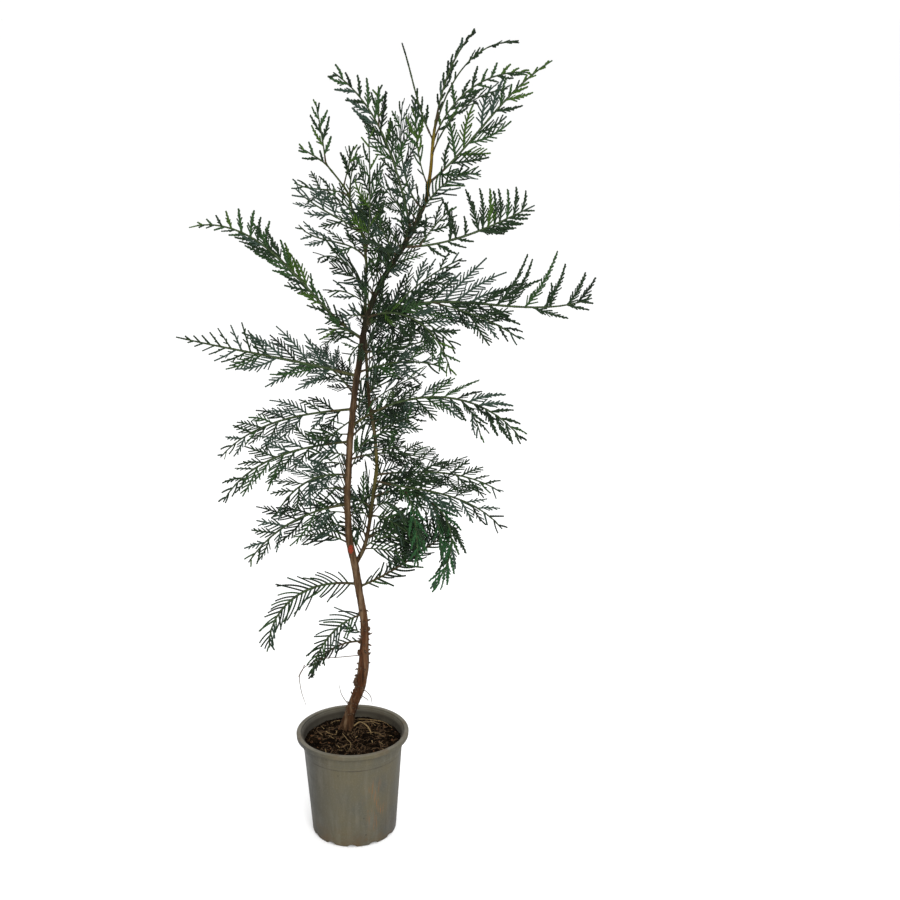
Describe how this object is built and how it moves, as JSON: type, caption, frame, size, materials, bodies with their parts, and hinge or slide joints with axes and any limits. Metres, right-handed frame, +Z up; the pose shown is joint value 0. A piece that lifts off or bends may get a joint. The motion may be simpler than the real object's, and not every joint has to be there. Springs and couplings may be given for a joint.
{
  "type": "leyland cypress",
  "caption": "Young evergreen conifer with flat feathery sprays on two slender stems, growing in a round plastic nursery pot.",
  "frame": {"origin": "middle of the pot's flat underside", "axes": "+Z up the plant, +X to the right of the leader's lean, -Y the front"},
  "size_m": [0.5159, 0.316, 1.0132],
  "materials": {
    "pot": "dusty taupe moulded plastic",
    "soil": "coarse dark peat with bark chips and straw",
    "bark": "thin fibrous brown bark, greener towards the tips",
    "foliage": "matte scale leaves in flat sprays"
  },
  "bodies": {
    "root": {"back_fifth_foliage": "foliage", "back_first_foliage": "foliage", "back_fourth_foliage": "foliage", "back_second_foliage": "foliage", "back_sixth_foliage": "foliage", "back_third_foliage": "foliage", "dying_low_twig": "foliage", "front_upper_foliage": "foliage", "leader_first_right": "foliage", "leader_fourth_right": "foliage", "leader_second_right": "foliage", "leader_spike": "foliage", "leader_third_right": "foliage", "leader_tip": "foliage", "left_fifth": "bark", "left_fifth_foliage": "foliage", "left_fork_foliage": "foliage", "left_fourth": "bark", "left_fourth_foliage": "foliage", "left_inner_foliage": "foliage", "left_long": "bark", "left_long_foliage": "foliage", "left_rising": "bark", "left_rising_foliage": "foliage", "left_second": "bark", "left_second_foliage": "foliage", "left_third_foliage": "foliage", "low_left_bough": "bark", "low_left_bough_foliage": "foliage", "low_right_bough": "bark", "low_right_bough_foliage": "foliage", "pot": "pot", "potting_soil": "soil", "right_back_foliage": "foliage", "right_back_low_foliage": "foliage", "right_drooping_foliage": "foliage", "right_fifth_foliage": "foliage", "right_fourth": "bark", "right_fourth_foliage": "foliage", "right_hanging_foliage": "foliage", "right_inner_foliage": "foliage", "right_long": "bark", "right_long_foliage": "foliage", "right_second_foliage": "foliage", "right_sixth_foliage": "foliage", "right_third_foliage": "foliage", "right_upper_foliage": "foliage", "second_stem": "bark", "second_stem_crest": "foliage", "second_stem_dark_foliage": "foliage", "second_stem_high_left_foliage": "foliage", "second_stem_left_crest": "foliage", "second_stem_low_left_foliage": "foliage", "second_stem_mid_left_foliage": "foliage", "second_stem_right_crest": "foliage", "trunk": "bark", "upper_back_foliage": "foliage", "upper_left_foliage": "foliage", "upright_inner_foliage": "foliage", "withered_low_frond": "foliage"}
  },
  "joints": []
}
